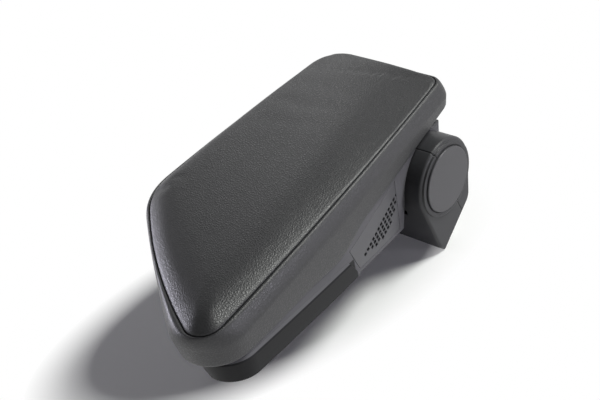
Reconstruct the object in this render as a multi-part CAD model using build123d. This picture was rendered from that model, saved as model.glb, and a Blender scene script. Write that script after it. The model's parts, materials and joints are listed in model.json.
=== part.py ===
from build123d import *
import math
import os

# Car centre armrest: a padded lid over a storage tray, on an arm that folds about a foot.
# Millimetres. Work is done with the fold axis through (0, 0, 0), then moved so that the centre
# of the foot's mounting face is the origin. X is across, -Y is the nose, +Z is up, lid level.

# Lid plan, measured along the sewn seam
SEAM_Z = 66.0
REAR_Y = 33.5
REAR_HALF_WIDTH = 52.4
FLARE_DEG = 4.25
NOSE_Y = -276.0
SHORT_SIDE_Y = -166.0
EDGE_BULGES = (3.4, 2.2, 3.4, 0.4)
REAR_CORNER_R = 8.0
REAR_LEFT_CORNER_R = 18.0
NOSE_CORNER_R = 22.5
SHORT_CORNER_R = 40.0
LEAST_CORNER_R = 5.0

# Lid section
CROWN_INSETS = (0.0, 9.0, 24.0)
CROWN_RISES = (0.0, 4.6, 7.6)
BAND_OFFSETS = (0.0, 6.0, 4.4, 0.5)
NOSE_OFFSETS = (-2.5, 1.0, 2.0, 0.5)
BAND_LEVELS = (10.0, 53.0, 60.5, SEAM_Z)
SEAM_GAP = 1.0
SKIRT_DEPTH = 5.0
LEATHER = 1.8
CARRIER_WALL = 2.6
CARRIER_TOP_Z = 58.0
CARRIER_PLATE = 3.0
LINING = 1.6

# Parting line between lid and arm, seen from the side
PARTING = (
    (-280.0, 41.0), (-198.0, 31.0), (-150.0, 25.8), (-117.0, 23.4),
    (-98.0, 31.0), (-70.0, 35.2), (0.0, 41.6), (50.0, 45.5),
)
PARTING_GAP = 0.8

# Fold joint
FIT = 0.3
RUN_CLEARANCE = 0.05
DRUM_R = 33.0
KNUCKLE_R = DRUM_R + 0.4
KNUCKLE_HALF_WIDTH = 49.5

# Arm shell
WALL = 2.5
ARM_TOP_Z = 48.0
ARM_LOW_Z = -34.0
ARM_TOP_OFFSET = 1.6
ARM_LOW_OFFSET = -5.6
ARM_FLARE_DEG = 1.1
ARM_FLARE_Y = -20.0
FRONT_LEAN_DEG = 24.0
FRONT_LEAN_Z = 33.0
FRONT_SET_BACK = 6.0
RIBBON_HEIGHT = 20.0
RIBBON_REAR_Y = -115.5
RIBBON_LEAN = 10.5
RECESS = 1.7
HEEL_Y = -40.0
HEEL_Z = -25.0
KEEL_DEG = 11.2
ARM_REAR_Y = 30.0
NECK_LOW_Z = -14.0
NECK_REAR_Y = -20.0
DECK_Z = 30.0
DECK_REAR_Y = 19.0

# Tray and arm bracket
TRAY_WALL = 2.0
TRAY_GAP = 3.2
TRAY_REAR_Y = -54.0
TRAY_FRONT_DEPTH = 31.0
TRAY_RIM_Z = 36.0
MAT = 1.5
STEEL = 3.0
BRACKET_LIFT = 0.4
BRACKET_SIDE_GAP = 4.5
BRACKET_HALF_WIDTH = KNUCKLE_HALF_WIDTH - BRACKET_SIDE_GAP - STEEL
BRACKET_FRONT_Y = -128.0
BRACKET_HUB_R = 13.0

# Grille panel in the right side of the shell
GRILLE_FRONT_Y = -112.0
GRILLE_REAR_Y = -45.0
GRILLE_TOP_DROP = 8.5
GRILLE_KEEL_LIFT = 3.5
GRILLE_FRONT_LEAN = 9.0
GRILLE_GAP = 0.3
SLOT_TIP = (-95.8, -3.2)
SLOT_AXIS_DEG = 19.5
SLOT_PITCH = 4.3
SLOT_ROWS = 14
SLOT_LENGTH = 2.7
SLOT_WIDTH = 3.3
SLOT_COLUMN_PITCH = 4.4
SLOT_FIELD_DEPTH = 17.0

# Lid hinge
LID_HINGE_Y = 25.0
LID_HINGE_Z = 42.0
LID_PIN_R = 2.5
LID_BOSS_R = 5.2
LID_RELIEF_R = 14.2
LID_LUG_X = 21.0
LID_LUG_WIDTH = 9.0
ARM_LUG_X = 32.0
ARM_LUG_WIDTH = 9.0

# Foot
EAR_GAP = 1.5
EAR_WIDTH = 19.0
EAR_INNER_X = KNUCKLE_HALF_WIDTH + EAR_GAP
EAR_FACE_X = EAR_INNER_X + EAR_WIDTH
EAR_CLEARANCE = 1.2
RING_R = DRUM_R - 2.3
RING_RISE = 1.5
CAP_R = RING_R - 4.3
CAP_RISE = 3.0
CAP_FACE_X = EAR_FACE_X + CAP_RISE
CAP_SEAT_R = CAP_R - 1.8
CAP_DEPTH = 7.0
CAP_GROOVE = 0.5
COVER_WALL = 2.5
RIM_ROUND = 2.2
SADDLE_R = KNUCKLE_R + 2.0
MOUNT_TILT_DEG = 31.6
MOUNT_DISTANCE = DRUM_R + 14.0
FOOT_LENGTH = 45.4
TOE_REACH = 1.4
TOE_RISE = 8.2
LOBE_R = 12.8
LOBE_ALONG = -3.4
SADDLE_TOP_DEG = -42.0
SPLIT_DEG = 107.5
SPLIT_GAP = 0.4

# Foot bracket, fold shaft and fasteners
PLATE = 4.0
CHEEK_GAP = 0.95
CHEEK_X = EAR_INNER_X + COVER_WALL / 2 + CHEEK_GAP
CHEEK_R = 20.0
PLATE_INSET = 6.0
PLATE_HALF_WIDTH = EAR_FACE_X - 2 * COVER_WALL
FOOT_BOLT_R = 2.5
FOOT_BOLT_X = 34.0
FOOT_BOLT_PITCH = 22.0
SHAFT_R = 6.0
SHAFT_FLANGE_R = 10.0
SHAFT_FLANGE = 3.0
SHAFT_END = 1.2
NUT_R = 9.0
NUT = 5.0
BUSH_R = 8.0
SCREW_R = 1.8
SCREW_HEAD_R = 3.4
SCREW_HEAD = 1.8
SCREW_LENGTH = 12.0
POST_R = 4.0
POST_REACH = 12.0
COVER_SCREW_X = PLATE_HALF_WIDTH - SCREW_HEAD_R

# Lid latch in the front wall
BUTTON_Z = 19.0
BUTTON_WIDTH = 24.0
BUTTON_HEIGHT = 8.0
BUTTON_PROUD = 1.6
BUTTON_STEM_HEIGHT = 5.0
CATCH_DEPTH = 13.0
CATCH = 3.0
CATCH_WIDTH = 9.0
CATCH_TOP_Z = 40.0
HOOK_LOW_Z = 33.0
HOOK_DEPTH = 3.0
SPRING_LENGTH = 9.0
SPRING_STRIP = 0.6
KEEL_SCREW_X = BRACKET_HALF_WIDTH - 12.0

KEEL_SCREW = WALL + BRACKET_LIFT + STEEL
LINING_SCREW = SCREW_HEAD + LINING + CARRIER_PLATE
SPAN = 400.0
FLARE = math.tan(math.radians(FLARE_DEG))
ARM_FLARE = math.tan(math.radians(ARM_FLARE_DEG))
FRONT_LEAN = math.tan(math.radians(FRONT_LEAN_DEG))
KEEL = math.tan(math.radians(KEEL_DEG))
MOUNT_NORMAL = (math.sin(math.radians(MOUNT_TILT_DEG)), -math.cos(math.radians(MOUNT_TILT_DEG)))
MOUNT_ALONG = (math.cos(math.radians(MOUNT_TILT_DEG)), math.sin(math.radians(MOUNT_TILT_DEG)))


def half_width(y, flare):
    """Half width of the seam outline at y, with the arm's extra flare where one is given."""
    return REAR_HALF_WIDTH + (REAR_Y - y) * FLARE + (ARM_FLARE_Y - y) * flare


def keel_z(y, lift=0.0):
    """Height of the arm's underside at y, raised by lift."""
    return HEEL_Z + (HEEL_Y - y) * KEEL + lift


def mount_point(along, above=0.0):
    """Side-view point on the mounting face, above it by the given height."""
    depth = MOUNT_DISTANCE - above
    return (
        along * MOUNT_ALONG[0] + depth * MOUNT_NORMAL[0],
        along * MOUNT_ALONG[1] + depth * MOUNT_NORMAL[1],
    )


def plan_corners(offset_by, front_by, flare=0.0):
    """Seam corners from the rear right round by the nose, with the edges moved out.

    The front edge moves out by its own distances, at the nose and at the short side.
    """
    seam = [
        Vector(half_width(REAR_Y, flare), REAR_Y),
        Vector(half_width(NOSE_Y, flare), NOSE_Y),
        Vector(-half_width(SHORT_SIDE_Y, flare), SHORT_SIDE_Y),
        Vector(-half_width(REAR_Y, flare), REAR_Y),
    ]
    plain = (offset_by, offset_by)
    lines = []
    for here, there, (near, far) in zip(seam, seam[1:] + seam[:1], (plain, front_by, plain, plain)):
        along = (there - here).normalized()
        outward = Vector(-along.Y, along.X)
        start = here + outward * near
        lines.append((start, (there + outward * far - start).normalized()))
    corners = []
    for (p, d), (q, e) in zip(lines[-1:] + lines[:-1], lines):
        gap = q - p
        reach = (gap.X * e.Y - gap.Y * e.X) / (d.X * e.Y - d.Y * e.X)
        corners.append(p + d * reach)
    return corners


def plan_outline(offset_by, front_by, flare=0.0):
    """The lid's plan with bowed edges, moved out from the seam line."""
    corners = plan_corners(offset_by, front_by, flare)
    edges = []
    for here, there, bulge in zip(corners, corners[1:] + corners[:1], EDGE_BULGES):
        middle = (here + there) / 2
        along = (there - here).normalized()
        edges.append(ThreePointArc(here, middle + Vector(-along.Y, along.X) * bulge, there))
    face = make_face(edges)
    radii = (REAR_CORNER_R, NOSE_CORNER_R, SHORT_CORNER_R, REAR_LEFT_CORNER_R)
    for corner, radius in zip(corners, radii):
        vertex = face.vertices().sort_by_distance(corner)[0]
        face = fillet(vertex, max(radius + offset_by, LEAST_CORNER_R))
    return face


def stack(offsets, fronts, levels, inset=0.0, flare=0.0):
    """Solid through plan outlines at the given offsets and levels, ruled between them."""
    solid = None
    outlines = [
        Pos(0, 0, level) * plan_outline(offset_by - inset, (nose_by - inset, short_by - inset), flare)
        for offset_by, (nose_by, short_by), level in zip(offsets, fronts, levels)
    ]
    for low, high in zip(outlines, outlines[1:]):
        layer = loft([low, high], ruled=True)
        solid = layer if solid is None else solid + layer
    return solid


def prism(offset_by, low, high):
    """Straight-sided solid over a plan outline."""
    return extrude(Pos(0, 0, low) * plan_outline(offset_by, (offset_by, offset_by)), high - low)


def across(face, from_x, to_x):
    """A side-view face, drawn in (Y, Z), given width from one X to another."""
    return extrude(Plane.YZ.offset(from_x) * face, to_x - from_x)


def both_sides(solid):
    """A solid with its mirror image across the middle plane."""
    return solid + mirror(solid, Plane.YZ)


def rod(radius, from_x, to_x, y=0.0, z=0.0):
    """Round bar along X."""
    return across(Pos(y, z) * Circle(radius), from_x, to_x)


def side_polygon(*points):
    """Side-view polygon through (Y, Z) points."""
    return make_face(Polyline(*points, close=True))


def above_parting(shift):
    """Everything above the parting line, moved up by shift."""
    points = [(y, z + shift) for y, z in PARTING]
    first, last = points[0], points[-1]
    edges = [
        Spline(*points),
        Polyline(last, (last[0], SPAN), (first[0], SPAN), first),
    ]
    return across(make_face(edges), -SPAN, SPAN)


def below_keel(lift):
    """Everything below the arm's underside, raised by lift."""
    ahead, behind = -SPAN, SPAN
    face = side_polygon(
        (ahead, keel_z(ahead, lift)), (behind, keel_z(behind, lift)), (behind, -SPAN), (ahead, -SPAN)
    )
    return across(face, -SPAN, SPAN)


def crown(inset):
    """The padded top, inset by a thickness."""
    edge = -SEAM_GAP / 2
    offsets = [edge - step for step in CROWN_INSETS]
    levels = [SEAM_Z + rise - inset for rise in CROWN_RISES]
    skirt = prism(edge - inset, SEAM_Z - SKIRT_DEPTH - inset, levels[0])
    return skirt + stack(offsets, list(zip(offsets, offsets)), levels, inset)


def band(inset):
    """The lid's side band as a solid, inset by a thickness."""
    return stack(BAND_OFFSETS, list(zip(NOSE_OFFSETS, BAND_OFFSETS)), BAND_LEVELS, inset)


def lid_parts():
    """Pieces of the lid."""
    lid_edge = above_parting(0)
    carrier_edge = above_parting(FIT)
    seam_well = prism(FIT, CARRIER_TOP_Z, SPAN)
    cover_top = crown(0) - crown(LEATHER) - prism(-SEAM_GAP / 2 - LEATHER, 0, SEAM_Z - SKIRT_DEPTH)
    cover_band = (band(0) - band(LEATHER) - seam_well) & lid_edge
    outer = band(LEATHER + FIT)
    inner = band(LEATHER + FIT + CARRIER_WALL) - prism(SPAN / 4, CARRIER_TOP_Z - CARRIER_PLATE, SPAN)
    carrier = (outer - inner - seam_well - prism(SPAN / 4, SEAM_Z - SKIRT_DEPTH, SPAN)) & carrier_edge
    carrier += lid_lugs()
    carrier -= rod(LID_PIN_R + RUN_CLEARANCE, -SPAN, SPAN, LID_HINGE_Y, LID_HINGE_Z)
    carrier += latch_hook(0)
    foam = crown(LEATHER + FIT) & prism(SPAN / 4, CARRIER_TOP_Z, SPAN)
    lining_z = CARRIER_TOP_Z - CARRIER_PLATE
    lining = band(LEATHER + CARRIER_WALL + 3 * FIT) & prism(SPAN / 4, lining_z - LINING, lining_z)
    lining -= lid_lug_room() + latch_hook(FIT)
    lining -= all_of(lining_places(), screw_room(LINING_SCREW))
    carrier -= all_of(lining_places(), screw_room(LINING_SCREW))
    screws = all_of(lining_places(), screw(LINING_SCREW))
    return {"lid_screws": screws, "cover_top": cover_top, "cover_band": cover_band, "lid_carrier": carrier,
            "lid_foam": foam, "lid_lining": lining}


def lid_lugs():
    """Two hinge lugs that hang from the carrier's plate."""
    low_z = CARRIER_TOP_Z - CARRIER_PLATE
    web = side_polygon(
        (LID_HINGE_Y - LID_BOSS_R, LID_HINGE_Z),
        (LID_HINGE_Y + LID_BOSS_R, LID_HINGE_Z),
        (LID_HINGE_Y + LID_BOSS_R, low_z),
        (LID_HINGE_Y - LID_BOSS_R, low_z),
    )
    face = web + Pos(LID_HINGE_Y, LID_HINGE_Z) * Circle(LID_BOSS_R)
    return both_sides(across(face, LID_LUG_X - LID_LUG_WIDTH / 2, LID_LUG_X + LID_LUG_WIDTH / 2))


def lid_lug_room():
    """Room in the lining round each hinge lug."""
    half = LID_LUG_WIDTH / 2 + FIT
    low_y = LID_HINGE_Y - LID_BOSS_R - FIT
    face = side_polygon((low_y, 0), (SPAN, 0), (SPAN, SPAN), (low_y, SPAN))
    return both_sides(across(face, LID_LUG_X - half, LID_LUG_X + half))


def front_plane(z, inward=0.0, lean_deg=0.0):
    """Plane at the button in the slanted front wall: x along the wall, z out of it and down by the lean."""
    out = (BUTTON_Z - FRONT_LEAN_Z) * FRONT_LEAN - FRONT_SET_BACK
    corners = plan_corners(0, (out, out))
    nose, short = corners[1], corners[2]
    along = (nose - short).normalized()
    outward = Vector(along.Y, -along.X)
    middle = (nose + short) / 2 + outward * (EDGE_BULGES[1] - inward)
    turn = math.radians(lean_deg)
    facing = outward * math.cos(turn) - Vector(0, 0, math.sin(turn))
    return Plane(origin=(middle.X, middle.Y, z), x_dir=along, z_dir=facing)


def front_block(width, low_z, high_z, near, far):
    """Block behind the front wall, between two depths and two levels."""
    place = front_plane((low_z + high_z) / 2, (near + far) / 2)
    return place * Box(width, high_z - low_z, far - near)


def latch_hook(clearance):
    """Tongue under the lid's plate, just ahead of the button's catch."""
    high_z = CARRIER_TOP_Z - CARRIER_PLATE
    far = CATCH_DEPTH - FIT
    return front_block(
        CATCH_WIDTH + 2 * clearance, HOOK_LOW_Z, high_z, far - HOOK_DEPTH - clearance, far + clearance
    )


def latch_parts():
    """Release button in the front wall, its bracket and its leaf spring."""
    half = BUTTON_HEIGHT / 2
    stem_half = BUTTON_STEM_HEIGHT / 2
    flange = button_depth()
    button = front_block(BUTTON_WIDTH, BUTTON_Z - half, BUTTON_Z + half, -BUTTON_HEIGHT, flange)
    button -= ahead_of_wall(-BUTTON_PROUD)
    button += front_block(BUTTON_WIDTH + 2 * WALL, BUTTON_Z - half, BUTTON_Z + half, flange, flange + WALL)
    stem_end = CATCH_DEPTH + CATCH
    button += front_block(CATCH_WIDTH, BUTTON_Z - stem_half, BUTTON_Z + stem_half, flange, stem_end)
    button += front_block(CATCH_WIDTH, BUTTON_Z, CATCH_TOP_Z, CATCH_DEPTH, stem_end)
    seat = stem_end + SPRING_LENGTH
    floor_y = front_plane(BUTTON_Z, seat).origin.Y
    low = keel_z(floor_y, 2 * WALL)
    bracket = front_block(BUTTON_WIDTH, low, BUTTON_Z + half, seat, seat + WALL)
    spring_face = make_face(Polyline(
        (0, 0), (SPRING_LENGTH / 2, half - SPRING_STRIP), (SPRING_LENGTH - FIT, 0),
        (SPRING_LENGTH - FIT, SPRING_STRIP), (SPRING_LENGTH / 2, half), (0, SPRING_STRIP), close=True
    ))
    side = front_plane(BUTTON_Z - half / 2, seat)
    strip = Plane(origin=side.origin, x_dir=side.z_dir, z_dir=side.x_dir)
    spring = extrude(strip * spring_face, CATCH_WIDTH / 2, both=True)
    return {"release_button": button, "latch_bracket": bracket, "button_spring": spring}


def button_depth():
    """Depth of the button's flange, just behind the leaning front wall."""
    turn = math.radians(FRONT_LEAN_DEG)
    return (WALL + BUTTON_HEIGHT / 2 * math.sin(turn)) / math.cos(turn) + 2 * FIT


def button_room():
    """Hole in the front wall that the button slides in."""
    half = BUTTON_HEIGHT / 2 + FIT
    return front_block(
        BUTTON_WIDTH + 2 * FIT, BUTTON_Z - half, BUTTON_Z + half, -BUTTON_HEIGHT, button_depth() + FIT
    )


def keel_plane(x, y):
    """Plane on the arm's underside, z pointing up into the arm."""
    turn = math.radians(KEEL_DEG)
    return Plane(origin=(x, y, keel_z(y)), x_dir=(1, 0, 0), z_dir=(0, math.sin(turn), math.cos(turn)))


def screw(length):
    """Pan-head screw, its head's face at zero and its shank along +Z."""
    head = Pos(0, 0, SCREW_HEAD / 2) * Cylinder(SCREW_HEAD_R, SCREW_HEAD)
    return head + Pos(0, 0, length / 2) * Cylinder(SCREW_R, length)


def screw_room(length):
    """Hole for a screw with a little room round it."""
    head = Pos(0, 0, SCREW_HEAD / 2) * Cylinder(SCREW_HEAD_R + FIT, SCREW_HEAD)
    return head + Pos(0, 0, length / 2) * Cylinder(SCREW_R + FIT / 2, length)


def keel_places():
    """Places of the screws under the arm."""
    spots = [BRACKET_FRONT_Y + 2 * SCREW_HEAD_R, TRAY_REAR_Y - 2 * SCREW_HEAD_R]
    return [keel_plane(x, y) for y in spots for x in (-KEEL_SCREW_X, KEEL_SCREW_X)]


def lining_places():
    """Places of the screws in the lid's lining, pointing up."""
    level = CARRIER_TOP_Z - CARRIER_PLATE - LINING
    spots = [SHORT_SIDE_Y, TRAY_REAR_Y]
    return [Pos(x, y, level - SCREW_HEAD) for y in spots for x in (-KEEL_SCREW_X, KEEL_SCREW_X)]


def cover_places():
    """Places of the screws through the foot bracket, pointing into the foot."""
    along = PLATE_INSET + POST_R - FOOT_LENGTH
    return [on_mount(x, along, 0) for x in (-COVER_SCREW_X, COVER_SCREW_X)]


def all_of(places, solid):
    """Copies of a solid at several places, as one group."""
    return Part() + [place * solid for place in places]


def behind(y):
    """Everything behind y."""
    return across(side_polygon((y, -SPAN), (SPAN, -SPAN), (SPAN, SPAN), (y, SPAN)), -SPAN, SPAN)


def ahead_of_front(depth):
    """Everything ahead of an upright plane set back from the slanted front wall."""
    return front_plane(0, depth) * Pos(0, 0, SPAN / 2) * Box(SPAN, SPAN, SPAN)


def ahead_of_wall(depth):
    """Everything ahead of a plane set back along the leaning front wall."""
    return front_plane(BUTTON_Z, 0, FRONT_LEAN_DEG) * Pos(0, 0, SPAN / 2 - depth) * Box(SPAN, SPAN, SPAN)


def arm_prism(inset):
    """The arm's tapering side walls as a solid, inset by a thickness."""
    offsets = (ARM_LOW_OFFSET, ARM_TOP_OFFSET)
    fronts = [(side - FRONT_SET_BACK, side - FRONT_SET_BACK) for side in offsets]
    return stack(offsets, fronts, (ARM_LOW_Z, ARM_TOP_Z), inset, ARM_FLARE)


def ribbon():
    """Lower band of the walls, proud from the nose to the grille panel, its top edge sloped back."""
    rear_low = RIBBON_REAR_Y + RIBBON_LEAN
    zone = side_polygon(
        (-SPAN, keel_z(-SPAN, RIBBON_HEIGHT)),
        (RIBBON_REAR_Y, keel_z(RIBBON_REAR_Y, RIBBON_HEIGHT)),
        (rear_low, keel_z(rear_low)),
        (-SPAN, keel_z(-SPAN)),
    )
    solid = arm_prism(0) & across(zone, -SPAN, SPAN)
    top = solid.faces().sort_by(Axis((0, 0, 0), keel_plane(0, 0).z_dir))[-1]
    return chamfer(top.edges(), RECESS, 2 * RECESS, reference=top)


def ear_room(thickness):
    """Room for the ears behind the arm, seen from the side, less a wall thickness."""
    radius = DRUM_R + EAR_CLEARANCE + thickness
    heel = HEEL_Y - thickness
    below = side_polygon(
        (heel, -SPAN), (heel, HEEL_Z), (-radius, 0), (0, 0), (0, radius), (SPAN, radius), (SPAN, -SPAN)
    )
    return across(below + Circle(radius), -SPAN, SPAN)


def knuckle(thickness):
    """The arm's rear end between the ears, with its neck, less a wall thickness."""
    low = NECK_LOW_Z + thickness
    rear = ARM_REAR_Y - thickness
    neck = side_polygon((2 * HEEL_Y, low), (NECK_REAR_Y, low), (NECK_REAR_Y, SEAM_Z), (2 * HEEL_Y, SEAM_Z))
    back = side_polygon((NECK_REAR_Y, 0), (rear, 0), (rear, SEAM_Z), (NECK_REAR_Y, SEAM_Z))
    half = KNUCKLE_HALF_WIDTH - thickness
    return across(neck + back + Circle(KNUCKLE_R - thickness), -half, half)


def lid_relief():
    """Space that the lid's rear edge sweeps as it opens."""
    face = Pos(LID_HINGE_Y, LID_HINGE_Z) * Circle(LID_RELIEF_R)
    return across(face, -SPAN, SPAN) & behind(DECK_REAR_Y)


def arm_outer():
    """Outside of the arm shell."""
    walls = arm_prism(RECESS) - below_keel(0) + ribbon()
    walls = walls - behind(ARM_REAR_Y) - ear_room(0) - ahead_of_wall(0)
    rear = knuckle(0) & (arm_prism(RECESS) + rod(KNUCKLE_R, -SPAN, SPAN))
    return walls + rear - above_parting(-PARTING_GAP) - lid_relief()


def arm_hollow():
    """Inside of the arm shell, open at the top."""
    room = arm_prism(RECESS + WALL) - below_keel(WALL) - behind(ARM_REAR_Y - WALL) - ear_room(WALL)
    return room - ahead_of_wall(WALL) + knuckle(WALL)


def grille_field(clearance):
    """Outline of the grille panel seen from the side, shrunk by a clearance."""
    front_low = GRILLE_FRONT_Y + GRILLE_FRONT_LEAN
    corners = (
        (GRILLE_FRONT_Y, parting_z(GRILLE_FRONT_Y) - GRILLE_TOP_DROP),
        (GRILLE_REAR_Y, parting_z(GRILLE_REAR_Y) - GRILLE_TOP_DROP),
        (GRILLE_REAR_Y, keel_z(GRILLE_REAR_Y, GRILLE_KEEL_LIFT)),
        (front_low, keel_z(front_low, GRILLE_KEEL_LIFT)),
    )
    return offset(side_polygon(*corners), -clearance)


def parting_z(y):
    """Height of the parting line at y, straight between its points."""
    for (y0, z0), (y1, z1) in zip(PARTING, PARTING[1:]):
        if y0 <= y <= y1:
            return z0 + (z1 - z0) * (y - y0) / (y1 - y0)


def grille_slots():
    """Rows of small slots in a lens-shaped field."""
    slots = []
    for row in range(SLOT_ROWS):
        share = (row + 0.5) / SLOT_ROWS
        depth = SLOT_FIELD_DEPTH * math.sin(math.pi * share)
        columns = max(1, round(depth / SLOT_COLUMN_PITCH))
        for column in range(columns):
            place = Pos((row + 0.5) * SLOT_PITCH, -column * SLOT_COLUMN_PITCH)
            slots.append(place * Rectangle(SLOT_LENGTH, SLOT_WIDTH))
    return Pos(*SLOT_TIP) * Rot(0, 0, SLOT_AXIS_DEG) * (Sketch() + slots)


def tray_space(inset, top):
    """Room of the storage tray, inset by a thickness, up to a level."""
    floor = WALL + BRACKET_LIFT + STEEL + FIT
    room = arm_prism(RECESS + WALL + TRAY_GAP + inset)
    room = room - below_keel(floor + inset) - behind(TRAY_REAR_Y - inset)
    room = room - ahead_of_front(TRAY_FRONT_DEPTH + inset)
    return room - Pos(0, 0, top + SPAN / 2) * Box(2 * SPAN, 2 * SPAN, SPAN)


def arm_parts():
    """Pieces of the arm, without the latch."""
    hollow = arm_hollow()
    shell = arm_outer() - hollow
    opening = across(grille_field(0), BRACKET_HALF_WIDTH, SPAN)
    panel = shell & across(grille_field(GRILLE_GAP), BRACKET_HALF_WIDTH, SPAN)
    shell -= opening
    shell = shell - button_room() - all_of(keel_places(), screw_room(KEEL_SCREW))
    shell -= both_sides(rod(BRACKET_HUB_R + FIT, KNUCKLE_HALF_WIDTH - 2 * WALL, KNUCKLE_HALF_WIDTH + WALL))
    grille = panel - across(grille_slots(), BRACKET_HALF_WIDTH, SPAN)
    tray = tray_space(0, TRAY_RIM_Z) - tray_space(TRAY_WALL, SPAN)
    floor = WALL + BRACKET_LIFT + STEEL + FIT + TRAY_WALL + FIT
    mat = tray_space(TRAY_WALL + FIT, SPAN) & below_keel(floor + MAT)
    return {"arm_shell": shell, "vent_grille": grille, "tray_liner": tray, "tray_mat": mat,
            "hinge_deck": hinge_deck(), "arm_bracket": arm_bracket(),
            "keel_screws": all_of(keel_places(), screw(KEEL_SCREW)), "lid_hinge_pin": lid_pin()}


def hinge_deck():
    """Deck between the knuckle's walls, with two bosses for the lid's pin."""
    half = KNUCKLE_HALF_WIDTH - WALL - FIT
    front = TRAY_REAR_Y + FIT
    face = side_polygon(
        (front, DECK_Z), (DECK_REAR_Y, DECK_Z), (DECK_REAR_Y, DECK_Z + WALL), (front, DECK_Z + WALL)
    )
    return across(face, -half, half) + arm_lugs()


def lid_pin():
    """Hinge pin of the lid, held in the deck's bosses."""
    half = ARM_LUG_X + ARM_LUG_WIDTH / 2
    return rod(LID_PIN_R, -half, half, LID_HINGE_Y, LID_HINGE_Z)


def arm_lugs():
    """Two bosses on the deck that carry the lid's pin."""
    seat = Pos(DECK_REAR_Y - LID_BOSS_R, DECK_Z + WALL / 2) * Rectangle(2 * LID_BOSS_R, WALL)
    boss = Pos(LID_HINGE_Y, LID_HINGE_Z) * Circle(LID_BOSS_R)
    face = make_hull(seat.edges() + boss.edges())
    lugs = both_sides(across(face, ARM_LUG_X - ARM_LUG_WIDTH / 2, ARM_LUG_X + ARM_LUG_WIDTH / 2))
    return lugs - rod(LID_PIN_R, -SPAN, SPAN, LID_HINGE_Y, LID_HINGE_Z)


def arm_bracket():
    """Steel bracket under the tray, with two cheeks and a cross tube at the fold axis."""
    lift = WALL + BRACKET_LIFT
    low = NECK_LOW_Z + WALL + BRACKET_LIFT
    plate_rear = HEEL_Y - 2 * WALL
    cheek_front = TRAY_REAR_Y
    plate = side_polygon(
        (BRACKET_FRONT_Y, keel_z(BRACKET_FRONT_Y, lift)),
        (plate_rear, keel_z(plate_rear, lift)),
        (plate_rear, keel_z(plate_rear, lift + STEEL)),
        (BRACKET_FRONT_Y, keel_z(BRACKET_FRONT_Y, lift + STEEL)),
    )
    cheek = side_polygon(
        (plate_rear, keel_z(plate_rear, lift)),
        (HEEL_Y, low),
        (0, low),
        (0, BRACKET_HUB_R),
        (HEEL_Y, BRACKET_HUB_R),
        (plate_rear, keel_z(cheek_front, lift + STEEL)),
    )
    cheek += Circle(BRACKET_HUB_R)
    inner, outer = BRACKET_HALF_WIDTH, BRACKET_HALF_WIDTH + STEEL
    solid = across(plate, -outer, outer) + both_sides(across(cheek, inner, outer))
    solid += rod(BRACKET_HUB_R, -KNUCKLE_HALF_WIDTH, KNUCKLE_HALF_WIDTH)
    return solid - rod(BUSH_R, -SPAN, SPAN) - all_of(keel_places(), screw_room(KEEL_SCREW))


def polar(radius, degrees):
    """Side-view point at a radius and bearing from the fold axis."""
    return (radius * math.cos(math.radians(degrees)), radius * math.sin(math.radians(degrees)))


def foot_face():
    """Foot seen from the side: a skin round the drum, the toe and the rear lobe."""
    toe = side_polygon(mount_point(-FOOT_LENGTH), (0, 0), mount_point(-FOOT_LENGTH - TOE_REACH, TOE_RISE))
    lobe = Pos(*mount_point(LOBE_ALONG, LOBE_R)) * Circle(LOBE_R)
    return make_hull(Circle(DRUM_R).edges() + lobe.edges() + toe.edges())


def opened(face):
    """The inside of a cover's side view, open through the mounting face."""
    inside = offset(face, -COVER_WALL)
    drop = 2 * COVER_WALL
    return inside + Pos(MOUNT_NORMAL[0] * drop, MOUNT_NORMAL[1] * drop) * inside


def rear_half(gap):
    """Everything behind the covers' split plane."""
    face = Rot(0, 0, SPLIT_DEG) * Pos(0, -SPAN / 2 - gap / 2) * Rectangle(2 * SPAN, SPAN)
    return across(face, -SPAN, SPAN)


def foot_covers():
    """Two plastic halves that cover the ears and the foot."""
    ear_face = foot_face()
    middle_face = ear_face - side_polygon((0, 0), polar(SPAN, SADDLE_TOP_DEG), (SPAN, SPAN), (0, SPAN))
    ear = across(ear_face, EAR_INNER_X, EAR_FACE_X)
    ear = fillet(ear.faces().sort_by(Axis.X)[-1].edges(), RIM_ROUND)
    ear += rod(RING_R, EAR_FACE_X, EAR_FACE_X + RING_RISE)
    middle = across(middle_face - Circle(SADDLE_R), -EAR_INNER_X, EAR_INNER_X)
    inner_x = EAR_INNER_X + COVER_WALL / 2
    room = across(opened(ear_face), inner_x, EAR_FACE_X - COVER_WALL)
    middle_room = across(opened(middle_face) - Circle(SADDLE_R + COVER_WALL), -inner_x, inner_x)
    hole = rod(CAP_SEAT_R + FIT, EAR_FACE_X - 2 * COVER_WALL, CAP_FACE_X)
    seat = rod(CAP_R + CAP_GROOVE, EAR_FACE_X, CAP_FACE_X)
    washer_hole = rod(SHAFT_FLANGE_R, EAR_INNER_X - COVER_WALL, inner_x + COVER_WALL)
    covers = both_sides(ear) + middle
    covers -= both_sides(room + hole + seat + washer_hole) + middle_room
    covers += both_sides((cover_post(POST_R) + cover_rib()) & across(ear_face, EAR_INNER_X, EAR_FACE_X))
    covers -= both_sides(cover_post(SCREW_R))
    return {
        "base_front_cover": covers - rear_half(-SPLIT_GAP),
        "base_rear_cover": covers & rear_half(SPLIT_GAP),
    }


def on_mount(x, along, above):
    """Location on the mounting face, z pointing into the foot."""
    y, z = mount_point(along, above)
    return Plane(origin=(x, y, z), x_dir=(1, 0, 0), z_dir=(0, -MOUNT_NORMAL[0], -MOUNT_NORMAL[1]))


def post_place():
    """Middle of the right-hand post at the front of the foot."""
    return on_mount(COVER_SCREW_X, PLATE_INSET + POST_R - FOOT_LENGTH, PLATE + FIT + SCREW_LENGTH / 2)


def cover_post(radius):
    """Post at the front of the foot that takes a cover screw."""
    return post_place() * Cylinder(radius, SCREW_LENGTH)


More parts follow.
